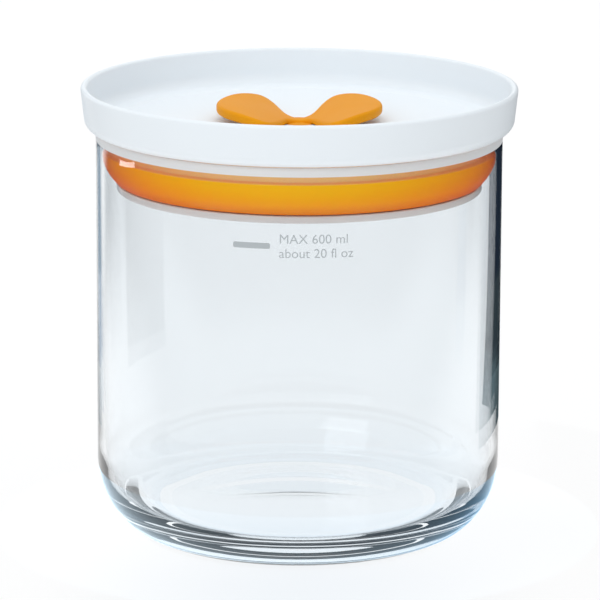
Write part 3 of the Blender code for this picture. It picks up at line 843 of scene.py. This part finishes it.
@dataclass
class FillMark:
    """The grey fill mark printed on the front of the glass: a short bar and a generic legend."""

    radius: float = 0.0530
    print_height: float = 0.00003
    bar_left: float = -0.0167
    bar_right: float = -0.0072
    bar_middle: float = 0.0872
    bar_height: float = 0.0015
    bar_corner: float = 0.0004
    bar_steps: int = 80
    legend_left: float = -0.0050
    legend_size: float = 0.003375
    legend_leading: float = 1.08
    legend_lift: float = 0.0007
    legend_lines: tuple[str, ...] = ("MAX 600 ml", "about 20 fl oz")

    def wrap(self, piece: bpy.types.Object) -> None:
        """Wraps a flat print round the front of the glass: x runs round it and y up it."""
        for corner in piece.data.vertices:
            angle = corner.co.x / self.radius
            out = self.radius + self.print_height
            corner.co = Vector((out * math.sin(angle), -out * math.cos(angle), corner.co.y))

    def bar(self) -> bpy.types.Object:
        """The bar, with rounded corners."""
        length = self.bar_right - self.bar_left
        pairs = []
        for step in range(self.bar_steps + 1):
            share = step / self.bar_steps
            x = self.bar_left + length * share
            corner_share = min(1.0, min(share, 1 - share) * length / self.bar_corner)
            fall = self.bar_corner * (1 - math.sqrt(1 - (1 - corner_share) ** 2))
            rise = self.bar_height / 2 - fall
            pairs.append([(x, self.bar_middle + side * rise, 0.0) for side in (-1, 1)])
        return new_object("fill_bar", strip(pairs))

    def legend(self) -> bpy.types.Object:
        """The generic legend beside the bar."""
        text = bpy.data.curves.new("fill_legend", "FONT")
        text.body = "\n".join(self.legend_lines)
        text.size = self.legend_size
        text.space_line = self.legend_leading
        text.resolution_u = 4
        mesh = mesh_of_curve("fill_legend_curve", text)
        mesh.transform(Matrix.Translation((self.legend_left, self.bar_middle + self.legend_lift, 0.0)))
        return into_scene("fill_legend", mesh)

    def build(self, effects: Effects) -> list[bpy.types.Object]:
        """Builds the print."""
        ink = PRINT.build(effects)
        pieces = [self.bar(), self.legend()]
        for piece in pieces:
            self.wrap(piece)
            settle(piece, Body.JAR, ink, Slot.NONE)
        return pieces


@dataclass
class TrayLid:
    """The white lid: a round tray, with its plug skirt, guide tube and ribs on the underside."""

    radius: float = 0.05685
    draft: float = 0.0008
    wall: float = 0.0017
    floor_thickness: float = 0.0016
    rim_height: float = 0.0096
    edge_width: float = 0.0034
    edge_height: float = 0.0031
    tray_fillet: float = 0.0030
    step_radius: float = 0.0475
    step_height: float = 0.0005
    skirt_radius: float = 0.0470
    skirt_wall: float = 0.0015
    skirt_depth: float = 0.0103
    guide_bore: float = 0.0116
    guide_wall: float = 0.0020
    guide_depth: float = 0.0100
    bore: float = 0.0056
    rib_count: int = 8
    rib_width: float = 0.0012
    rib_depth: float = 0.0045
    keyway_width: float = 0.0036
    edge_rounding: float = 0.0003

    @property
    def underside(self) -> float:
        """Height of the underside of the tray's floor."""
        return TRAY_FLOOR - self.floor_thickness

    def outline(self) -> Outline:
        """The lid's closed section, from the tray's floor over the rim and down to the underside."""
        underside = self.underside
        top = TRAY_FLOOR + self.rim_height
        crest = self.wall / 2
        wall_bottom = self.radius - self.draft
        tray_bottom = wall_bottom - self.wall
        outer_floor = TRAY_FLOOR + self.step_height
        skirt_bottom = underside - self.skirt_depth
        guide_bottom = underside - self.guide_depth
        guide_radius = self.guide_bore + self.guide_wall
        step = self.step_height
        fillet = (self.tray_fillet, self.tray_fillet)
        points = [(self.bore, TRAY_FLOOR)]
        points += bend([
            (self.step_radius - 2 * step, TRAY_FLOOR),
            (self.step_radius, TRAY_FLOOR),
            (self.step_radius, outer_floor),
            (self.step_radius + 2 * step, outer_floor),
        ], steps=6)
        fillet_centre = (tray_bottom - self.tray_fillet, outer_floor + self.tray_fillet)
        points += arc(fillet_centre, fillet, -90, 0, steps=12)
        points += arc((self.radius - crest, top - crest), (crest, crest), 180, 0, steps=16)
        edge_centre = (wall_bottom - self.edge_width, underside + self.edge_height)
        points += arc(edge_centre, (self.edge_width, self.edge_height), 0, -90, steps=14)
        points += [
            (self.skirt_radius, underside),
            (self.skirt_radius, skirt_bottom),
            (self.skirt_radius - self.skirt_wall, skirt_bottom),
            (self.skirt_radius - self.skirt_wall, underside),
            (guide_radius, underside),
            (guide_radius, guide_bottom),
            (self.guide_bore, guide_bottom),
            (self.guide_bore, underside),
            (self.bore, underside),
        ]
        return rounded(points, self.edge_rounding, sharpest=40.0)

    def ribs(self) -> bpy.types.Object:
        """The ribs between the guide tube and the skirt."""
        rib = Spoke(
            inner=self.guide_bore + self.guide_wall / 2,
            outer=self.skirt_radius - self.skirt_wall / 2,
            width=self.rib_width,
            low=self.underside - self.rib_depth,
            high=self.underside + self.floor_thickness / 2,
        )
        return rib.place("lid_ribs", around(self.rib_count, math.pi / self.rib_count), self.edge_rounding)

    def keyways(self) -> bpy.types.Object:
        """The two slots in the guide tube that keep the plate from turning."""
        keyway = Spoke(
            inner=self.guide_bore - self.guide_wall / 2,
            outer=self.guide_bore + self.guide_wall + SEAT_GAP,
            width=self.keyway_width,
            low=self.underside - self.guide_depth - SEAT_GAP,
            high=self.underside - 2 * SEAT_GAP,
        )
        return keyway.place("keyways", around(2, math.pi / 2))

    def build(self, effects: Effects) -> bpy.types.Object:
        """Builds the lid."""
        lid = lathe("tray_lid", self.outline(), closed=True)
        carve(lid, (self.ribs(), Cut.ADD), (self.keyways(), Cut.REMOVE))
        turn_mesh(lid, LID_SET_ANGLE)
        return settle(lid, Body.LID, WHITE_LID.build(effects), Slot.WHITE, "lid_shell")


@dataclass
class SealRing:
    """The orange silicone ring: a collar round the skirt with a lip that bears on the glass."""

    radius: float = 0.0513
    neck: float = 0.0503
    bore: float = 0.0473
    top: float = 0.1070
    lip_top: float = 0.1025
    lip_bottom: float = 0.1017
    lip_fall: float = 0.0005
    foot: float = 0.0941
    foot_radius: float = 0.0477
    foot_bore: float = 0.0448
    foot_top: float = 0.0964
    shelf: float = 0.0967
    gland_depth: float = 0.0018
    gland_height: float = 0.0050
    edge_rounding: float = 0.00025

    def outline(self) -> Outline:
        """The ring's closed section, from its top round the lip to the foot and up its bore."""
        middle = (self.lip_top + self.lip_bottom) / 2
        low = middle - self.gland_height / 2
        high = middle + self.gland_height / 2
        gland = self.bore + self.gland_depth
        slope = self.gland_depth / 2
        points = [
            (self.bore, self.top),
            (self.neck, self.top),
            (self.neck, self.lip_top + self.lip_fall),
            (self.radius, self.lip_top),
        ]
        belly = (self.radius, (self.lip_bottom + self.foot) / 2)
        points += bend([(self.radius, self.lip_bottom), belly, (self.foot_radius, self.foot)], steps=20)
        points += [
            (self.foot_bore, self.foot),
            (self.foot_bore, self.foot_top),
            (self.bore, self.shelf),
            (self.bore, low),
            (gland, low + slope),
            (gland, high - slope),
            (self.bore, high),
        ]
        return rounded(points, self.edge_rounding, sharpest=20.0)

    def build(self, effects: Effects) -> bpy.types.Object:
        """Builds the ring, which sits between the lid and the plate."""
        ring = lathe("seal_band", self.outline(), closed=True)
        ring.data.materials.append(SILICONE.build(effects))
        smooth(ring)
        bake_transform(ring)
        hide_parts("seal_ring")
        log.info("%s stretches between lid and plate", ring.name)
        return ring


@dataclass
class PressurePlate:
    """The clear plate under the ring, with its locating ring, ribs, post, lugs and keys."""

    radius: float = 0.0477
    top: float = 0.0938
    thickness: float = 0.0019
    edge_rounding: float = 0.0004
    ring_radius: float = 0.0445
    ring_wall: float = 0.0015
    ring_height: float = 0.0020
    post_bore: float = 0.0094
    post_wall: float = 0.0019
    post_height: float = 0.0108
    rib_count: int = 6
    rib_width: float = 0.0012
    rib_height: float = 0.0016
    lug_radius: float = 0.0011
    lug_height: float = 0.1025
    lug_tip: float = 0.0076
    key_width: float = 0.0030
    key_reach: float = 0.0015
    small_rounding: float = 0.00025

    def outline(self) -> Outline:
        """The plate's section from the middle of its top, round the edge, to its underside."""
        post = self.post_bore + self.post_wall
        post_top = self.top + self.post_height
        ring_top = self.top + self.ring_height
        inner_ring = self.ring_radius - self.ring_wall
        bottom = self.top - self.thickness
        edge = self.edge_rounding
        upper = [
            (self.post_bore, self.top),
            (self.post_bore, post_top),
            (post, post_top),
            (post, self.top),
            (inner_ring, self.top),
            (inner_ring, ring_top),
            (self.ring_radius, ring_top),
            (self.ring_radius, self.top),
        ]
        upper += arc((self.radius - edge, self.top - edge), (edge, edge), 90, 0, steps=6)
        upper += arc((self.radius - edge, bottom + edge), (edge, edge), 0, -90, steps=6)
        return [(0.0, self.top), *upper, (0.0, bottom)]

    def keys(self) -> bpy.types.Object:
        """The two keys on the post that slide in the guide tube's slots."""
        key = Spoke(
            inner=self.post_bore + self.post_wall / 2,
            outer=self.post_bore + self.post_wall + self.key_reach,
            width=self.key_width,
            low=self.top - self.thickness / 2,
            high=self.top + self.post_height - SEAT_GAP,
        )
        return key.place("plate_keys", around(2, math.pi / 2), self.small_rounding)

    def ribs(self) -> bpy.types.Object:
        """The ribs between the post and the locating ring."""
        rib = Spoke(
            inner=self.post_bore + self.post_wall / 2,
            outer=self.ring_radius - self.ring_wall / 2,
            width=self.rib_width,
            low=self.top - self.thickness / 2,
            high=self.top + self.rib_height,
        )
        return rib.place("plate_ribs", around(self.rib_count, math.pi / self.rib_count), self.small_rounding)

    def lugs(self) -> bpy.types.Object:
        """The two round lugs inside the post that run in the cam grooves."""
        root = self.post_bore + self.post_wall / 2
        middle = Matrix.Translation(((self.lug_tip + root) / 2, 0.0, self.lug_height))
        level = Matrix.Rotation(math.pi / 2, 4, "Y")
        shape = bmesh.new()
        for angle in around(2):
            bmesh.ops.create_cone(
                shape, cap_ends=True, segments=24, radius1=self.lug_radius, radius2=self.lug_radius,
                depth=root - self.lug_tip, matrix=Matrix.Rotation(angle, 4, "Z") @ middle @ level,
            )
        return new_object("plate_lugs", shape)

    def build(self, effects: Effects) -> bpy.types.Object:
        """Builds the plate."""
        plate = lathe("clear_press_plate", self.outline())
        carve(plate, (self.ribs(), Cut.ADD), (self.keys(), Cut.ADD), (self.lugs(), Cut.ADD))
        turn_mesh(plate, LID_SET_ANGLE)
        return settle(plate, Body.PLATE, CLEAR_PLATE.build(effects), Slot.CLEAR, "pressure_plate")


@dataclass
class ButterflyKnob:
    """The orange knob: a plate bent to a saddle with a notch at the front and back, and its stem."""

    radius: float = 0.0216
    grip_rise: float = 0.00485
    waist_rise: float = 0.0006
    waist: float = 0.0019
    wing_reach: float = 0.0180
    wing_power: float = 0.8
    wing_thickness: float = 0.0026
    corner_depth: float = 0.0031
    corner_angle: float = math.radians(58)
    corner_run: float = 0.6
    mouth_angle: float = math.radians(65.8)
    notch_run: float = 0.6
    notch_bow: Point = (0.52, 0.62)
    edge: float = 0.0009
    stations: int = 48
    stem_radius: float = 0.0053
    stem_length: float = 0.0103
    stem_flat: float = 0.0010
    flat_drop: float = 0.0027
    ring_drop: float = 0.0008
    ring_groove_depth: float = 0.0009
    ring_groove_height: float = 0.0010
    screw_hole: float = 0.0018
    screw_hole_depth: float = 0.0049

    def rise(self, x: float) -> float:
        """Height of the saddle's top at a distance from its middle."""
        share = min(1.0, abs(x) / self.wing_reach)
        lift = math.sin(math.pi / 2 * share**self.wing_power) ** 2
        return TRAY_FLOOR + self.waist_rise + (self.grip_rise - self.waist_rise) * lift

    def outline(self) -> Outline:
        """The butterfly seen from above, as a closed outline."""
        mouth = self.radius - self.corner_depth
        mouth_x = mouth * math.cos(self.mouth_angle)
        mouth_y = mouth * math.sin(self.mouth_angle)
        corner_x = self.radius * math.cos(self.corner_angle)
        corner_y = self.radius * math.sin(self.corner_angle)
        lead = self.corner_depth / 2
        lean = (lead * math.sin(self.corner_angle), lead * math.cos(self.corner_angle))
        notch = bend([
            (0.0, self.waist),
            (self.notch_run * mouth_x, self.waist),
            (self.notch_bow[0] * mouth_x, self.notch_bow[1] * mouth_y),
            (mouth_x, mouth_y),
        ], steps=22)
        corner = bend([
            (mouth_x, mouth_y),
            (mouth_x + self.corner_run * lead, mouth_y + lead),
            (corner_x - lean[0], corner_y + lean[1]),
            (corner_x, corner_y),
        ], steps=12)
        rim = arc((0.0, 0.0), (self.radius, self.radius), math.degrees(self.corner_angle), 0, steps=24)
        quarter = notch + corner[1:] + rim[1:]
        half = quarter + [(x, -y) for x, y in quarter[-2::-1]]
        return half + [(-x, y) for x, y in half[-2:0:-1]]

    def grip(self) -> bpy.types.Object:
        """The bent plate: a filled curve with rounded edges, cut across so that it follows the bend."""
        curve = bpy.data.curves.new("grip", "CURVE")
        curve.dimensions = "2D"
        curve.fill_mode = "BOTH"
        curve.extrude = self.wing_thickness / 2 - self.edge
        curve.bevel_depth = self.edge
        curve.bevel_resolution = 5
        curve.offset = -self.edge
        spline = curve.splines.new("POLY")
        points = self.outline()
        spline.points.add(len(points) - 1)
        for point, (x, y) in zip(spline.points, points):
            point.co = (x, y, 0.0, 1.0)
        spline.use_cyclic_u = True
        shape = bmesh.new()
        shape.from_mesh(mesh_of_curve("grip_curve", curve))
        bmesh.ops.remove_doubles(shape, verts=shape.verts, dist=MERGE)
        for step in range(1 - self.stations, self.stations):
            parts = [*shape.verts, *shape.edges, *shape.faces]
            station = (self.radius * step / self.stations, 0.0, 0.0)
            bmesh.ops.bisect_plane(shape, geom=parts, plane_co=station, plane_no=(1, 0, 0), dist=MERGE)
        for corner in shape.verts:
            corner.co.z += self.rise(corner.co.x) - self.wing_thickness / 2
        bmesh.ops.recalc_face_normals(shape, faces=shape.faces)
        return new_object("grip_knob", shape)

    def stem(self) -> bpy.types.Object:
        """The stem, with the o-ring's groove and the screw's hole."""
        end = TRAY_FLOOR - self.stem_length
        ring_middle = TRAY_FLOOR - self.ring_drop
        groove = self.stem_radius - self.ring_groove_depth
        half = self.ring_groove_height / 2
        outline = [
            (0.0, TRAY_FLOOR),
            (self.stem_radius, TRAY_FLOOR),
            (self.stem_radius, ring_middle + half),
            (groove, ring_middle + half),
            (groove, ring_middle - half),
            (self.stem_radius, ring_middle - half),
            (self.stem_radius, end),
            (self.screw_hole, end),
            (self.screw_hole, end + self.screw_hole_depth),
            (0.0, end + self.screw_hole_depth),
        ]
        return lathe("stem", outline, segments=SMALL_SEGMENTS)

    def build(self, effects: Effects) -> bpy.types.Object:
        """Builds the knob, cut level just above the tray's floor, with a flat on its stem."""
        knob = self.grip()
        socket = self.stem_radius - SEAT_GAP
        low = TRAY_FLOOR - 2 * self.wing_thickness
        high = TRAY_FLOOR + RUNNING_GAP
        under = [(socket, high), (2 * self.radius, high), (2 * self.radius, low), (socket, low)]
        level_cut = lathe("level_cut", under, closed=True, segments=SMALL_SEGMENTS)
        flat = Spoke(
            inner=self.stem_radius - self.stem_flat,
            outer=self.stem_radius + self.stem_flat,
            width=2 * self.stem_radius,
            low=TRAY_FLOOR - self.stem_length - SEAT_GAP,
            high=TRAY_FLOOR - self.flat_drop,
        ).place("stem_flat", [0.0])
        carve(knob, (level_cut, Cut.REMOVE), (self.stem(), Cut.ADD), (flat, Cut.REMOVE))
        turn_mesh(knob, LID_SET_ANGLE)
        return settle(knob, Body.KNOB, ORANGE_KNOB.build(effects), Slot.ORANGE, "turn_knob")


@dataclass
class CamDrive:
    """The small parts under the lid, which keep their CAD solids."""

    nylon_nodes: tuple[str, ...] = ("cam_sleeve", "slip_washer")
    steel_nodes: tuple[str, ...] = ("cam_screw", "screw_washer")
    rubber_nodes: tuple[str, ...] = ("stem_o_ring",)

    def build(self, effects: Effects) -> None:
        """Gives each node its material."""
        groups = ((self.nylon_nodes, NYLON), (self.steel_nodes, STEEL), (self.rubber_nodes, RUBBER))
        for names, finish in groups:
            material = finish.build(effects)
            for name in names:
                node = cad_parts[name]
                for slot in node.material_slots:
                    slot.material = material
                log.info("%s keeps its solid and takes %s", name, finish.name)


# The studio


@dataclass(frozen=True)
class Screen:
    """A standing screen: its angles in degrees from +Y towards +X, and its colour on each tier."""

    side: str
    first: float
    last: float
    colours: tuple[Colour, ...]


@dataclass(frozen=True)
class Softbox:
    """A square soft light, its place and what it is aimed at."""

    name: str
    place: Place
    aim: Place
    size: float
    power: float


# Each tier's name, and the heights of its lower and upper ends.
SCREEN_TIERS = (("top", 0.045, 0.300), ("middle", 0.018, 0.045), ("foot", 0.0005, 0.018))
# Painted dark and pale reflections: screens that only glass and gloss see, each tier in its own colour.
SCREENS = (
    Screen("right", 32.0, 75.0, ((0.016, 0.025, 0.042), (0.035, 0.050, 0.060), (0.110, 0.160, 0.180))),
    Screen("left", -50.0, -39.5, ((0.35, 0.45, 0.54), (0.53, 0.62, 0.72), (0.88, 0.95, 1.0))),
)
SOFTBOXES = (
    Softbox("overhead_softbox", place=(0.0, 0.15, 1.1), aim=(0.0, 0.0, 0.1), size=1.3, power=3.0),
    Softbox("front_softbox", place=(-0.7, -1.1, 0.7), aim=(0.0, 0.0, 0.08), size=0.7, power=2.6),
)
WHITE: Colour = (1.0, 1.0, 1.0)


@dataclass
class Studio:
    """A pale floor, soft light from all round, what the glass and the lid reflect, and the camera."""

    camera_distance: float = 1.107746
    camera_pitch: float = math.radians(13.234)
    camera_roll: float = math.radians(0.244)
    camera_side: float = -0.000109
    aim_height: float = 0.061042
    focal_pixels: float = 4329.323
    frame_pixels: float = 600.0
    axis_pixel: float = 298.136
    sensor: float = 36.0
    floor_radius: float = 3.0
    # Painted shade on the floor in front of the jar: its colour, centre and reach.
    floor_shade: Colour = (0.865, 0.895, 0.925)
    shade_place: Point = (0.0, -0.062)
    shade_reach: float = 0.075
    screen_distance: float = 0.13
    screen_steps: int = 12
    # A dark sheet that only glass and gloss see: painted shade for the room's dim side.
    sheet_reach: float = 2.5
    sheet_lift: float = 0.0006
    sheet_front: Span = (0.07, 0.20)
    sheet_side: Span = (0.17, 0.50)
    sheet_colour: Colour = (0.035, 0.045, 0.055)
    # A glowing card round the heel that only gloss sees: painted pale blue reflections, deeper at the right.
    heel_reflection_angle: float = math.radians(150.0)
    heel_reflection_steps: int = 48
    heel_reflection_radii: Span = (0.080, 0.042)
    gel_lift: float = 0.0002
    heel_reflection_colour: Colour = (0.72, 0.88, 1.0)
    heel_reflection_deep_colour: Colour = (0.235, 0.42, 0.60)
    heel_reflection_deep_place: Point = (0.058, -0.010)
    heel_reflection_deep_reach: float = 0.075
    heel_reflection_glow: float = 2.0
    window_centre: Place = (-0.2390, 0.0553, 0.0615)
    window_heading: Place = (0.383, 0.924, 0.0)
    window_half_width: float = 0.031
    window_half_height: float = 0.0010
    window_colour: Colour = (1.0, 0.98, 0.96)
    window_glow: float = 5.0
    card_distance: float = 0.75
    card_span: Span = (-0.9, 0.5)
    card_height: float = 0.8
    left_card_shade: float = 0.55
    right_card_shade: float = 0.46

    def floor(self, effects: Effects) -> None:
        """Lays the pale floor, with a painted soft shade in front of the jar."""
        floor = new_object("studio_floor", disc(self.floor_radius))
        surface = Surface("pale_floor", {
            "Base Color": (0.15, 0.152, 0.154),
            "Roughness": 0.6,
            "Specular IOR Level": 0.05,
            "Emission Color": WHITE,
            "Emission Strength": 0.83,
        })
        # Painted shade: the floor's glow dims in a soft round patch in front of the jar.
        x, y = self.shade_place
        shade = surface.effect(effects.round_shade, X=x, Y=y, Reach=self.shade_reach)
        surface.feed("Emission Color", surface.ramp(shade, (0.0, WHITE), (1.0, self.floor_shade)))
        floor.data.materials.append(surface.material)

    def place_card(
        self, name: str, shape: bmesh.types.BMesh, colour: Colour, rays: Iterable[str], glow: float = 0.0,
    ) -> Surface:
        """Places a matt card that only some kinds of ray can see.

        Args:
            name: The card's name.
            shape: Its mesh.
            colour: Its colour.
            rays: The kinds of ray that see it.
            glow: How strongly it gives out light of its colour.

        Returns:
            The card's surface.
        """
        card = new_object(name, shape)
        surface = Surface(f"{name}_card", {
            "Base Color": colour, "Roughness": 1.0, "Specular IOR Level": 0.0,
            "Emission Color": colour, "Emission Strength": glow,
        })
        card.data.materials.append(surface.material)
        for kind in ("camera", "diffuse", "glossy", "transmission", "shadow"):
            setattr(card, f"visible_{kind}", kind in rays)
        return surface

    def screens(self) -> None:
        """Stands a dark screen behind the jar at the right and a paler one at the left: painted dark and
        pale reflections.

        Only glass and gloss see them.
        """
        for screen in SCREENS:
            columns = []
            for step in range(self.screen_steps + 1):
                angle = math.radians(screen.first + (screen.last - screen.first) * step / self.screen_steps)
                across, along = math.sin(angle), math.cos(angle)
                columns.append((self.screen_distance * across, self.screen_distance * along))
            for (tier, low, high), colour in zip(SCREEN_TIERS, screen.colours):
                shape = strip([(x, y, low), (x, y, high)] for x, y in columns)
                self.place_card(f"screen_{screen.side}_{tier}", shape, colour, ("glossy", "transmission"))

    def sheet(self, effects: Effects) -> None:
        """Lays a dark sheet on the floor, which only glass and gloss see: painted shade that stands for the
        dim side of the room.
        """
        shape = disc(self.sheet_reach, self.sheet_lift)
        surface = self.place_card("dark_sheet", shape, self.sheet_colour, ("glossy", "transmission"))
        fan = surface.effect(
            effects.front_fan, FrontNear=self.sheet_front[0], FrontFar=self.sheet_front[1],
            SideNear=self.sheet_side[0], SideFar=self.sheet_side[1],
        )
        surface.feed("Alpha", fan)

    def heel_reflection_card(self, effects: Effects) -> None:
        """Lays a glowing pale blue card round the heel, deeper blue at the right, which only the heel's
        gloss sees: a painted reflection.
        """
        turns = [self.heel_reflection_angle * (2 * step / self.heel_reflection_steps - 1) for step in range(self.heel_reflection_steps + 1)]
        shape = strip(
            [(r * math.sin(a), -r * math.cos(a), self.gel_lift) for r in self.heel_reflection_radii] for a in turns
        )
        # The card glows, so that the heel shows a painted blue reflection.
        surface = self.place_card("heel_reflection_card", shape, (0.0, 0.0, 0.0), ("glossy",), self.heel_reflection_glow)
        x, y = self.heel_reflection_deep_place
        deep = surface.effect(effects.round_shade, X=x, Y=y, Reach=self.heel_reflection_deep_reach)
        colour = surface.ramp(deep, (0.0, self.heel_reflection_colour), (1.0, self.heel_reflection_deep_colour))
        surface.feed("Emission Color", colour)

    def window(self) -> None:
        """Hangs a narrow bright window at the left, which the jar's side reflects as a small glint."""
        centre = Vector(self.window_centre)
        along = Vector(self.window_heading) * self.window_half_width
        up = Vector((0.0, 0.0, self.window_half_height))
        shape = strip([centre + side * along - up, centre + side * along + up] for side in (-1, 1))
        self.place_card("window", shape, self.window_colour, ("glossy",), self.window_glow)

    def cards(self) -> None:
        """Stands grey cards at both sides, which shade the lid towards its ends."""
        for name, x, shade in (
            ("side_card_left", -self.card_distance, self.left_card_shade),
            ("side_card_right", self.card_distance, self.right_card_shade),
        ):
            shape = strip([(x, y, 0.0), (x, y, self.card_height)] for y in self.card_span)
            self.place_card(name, shape, (shade, shade, shade), ("diffuse", "glossy"))

    def lights(self) -> None:
        """Hangs one wide soft light overhead and a softer one at the front left."""
        for softbox in SOFTBOXES:
            lamp = bpy.data.lights.new(softbox.name, "AREA")
            lamp.size = softbox.size
            lamp.energy = softbox.power
            holder = into_scene(softbox.name, lamp)
            holder.location = softbox.place
            heading = Vector(softbox.aim) - Vector(softbox.place)
            holder.rotation_euler = heading.to_track_quat("-Z", "Y").to_euler()

    def sky(self) -> None:
        """Lights the room evenly and softly from all round."""
        world = bpy.data.worlds.new("soft_room")
        world.use_nodes = True
        background = world.node_tree.nodes["Background"]
        background.inputs["Color"].default_value = (0.97, 0.985, 1.0, 1.0)
        background.inputs["Strength"].default_value = 0.92
        bpy.context.scene.world = world

    def camera(self) -> None:
        """Sets the camera at the photograph's place, worked out from the jar's contours."""
        lens = bpy.data.cameras.new("photo_camera")
        lens.sensor_width = self.sensor
        lens.lens = self.focal_pixels / self.frame_pixels * lens.sensor_width
        lens.shift_x = (self.frame_pixels / 2 - self.axis_pixel) / self.frame_pixels
        lens.clip_start = 0.05
        lens.clip_end = 20.0
        holder = into_scene("photo_camera", lens)
        height = self.aim_height + self.camera_distance * math.tan(self.camera_pitch)
        turn = Matrix.Rotation(math.pi / 2 - self.camera_pitch, 4, "X")
        roll = Matrix.Rotation(self.camera_roll, 4, "Z")
        place = Matrix.Translation((self.camera_side, -self.camera_distance, height))
        holder.matrix_world = place @ turn @ roll
        bpy.context.scene.camera = holder

    def build(self, effects: Effects) -> None:
        """Builds the studio."""
        self.floor(effects)
        self.screens()
        self.sheet(effects)
        self.heel_reflection_card(effects)
        self.window()
        self.cards()
        self.lights()
        self.sky()
        self.camera()
        bpy.context.scene.view_settings.view_transform = "Standard"
        log.info("studio: floor, cards, lights and camera are in place")


def main() -> None:
    """Builds the canister and its studio, and reports each piece."""
    logging.basicConfig(level=logging.INFO, format="%(message)s")
    effects = Effects()
    GlassJar().build(effects)
    FillMark().build(effects)
    TrayLid().build(effects)
    SealRing().build(effects)
    PressurePlate().build(effects)
    ButterflyKnob().build(effects)
    CamDrive().build(effects)
    Studio().build(effects)


if __name__ == "__main__":
    main()
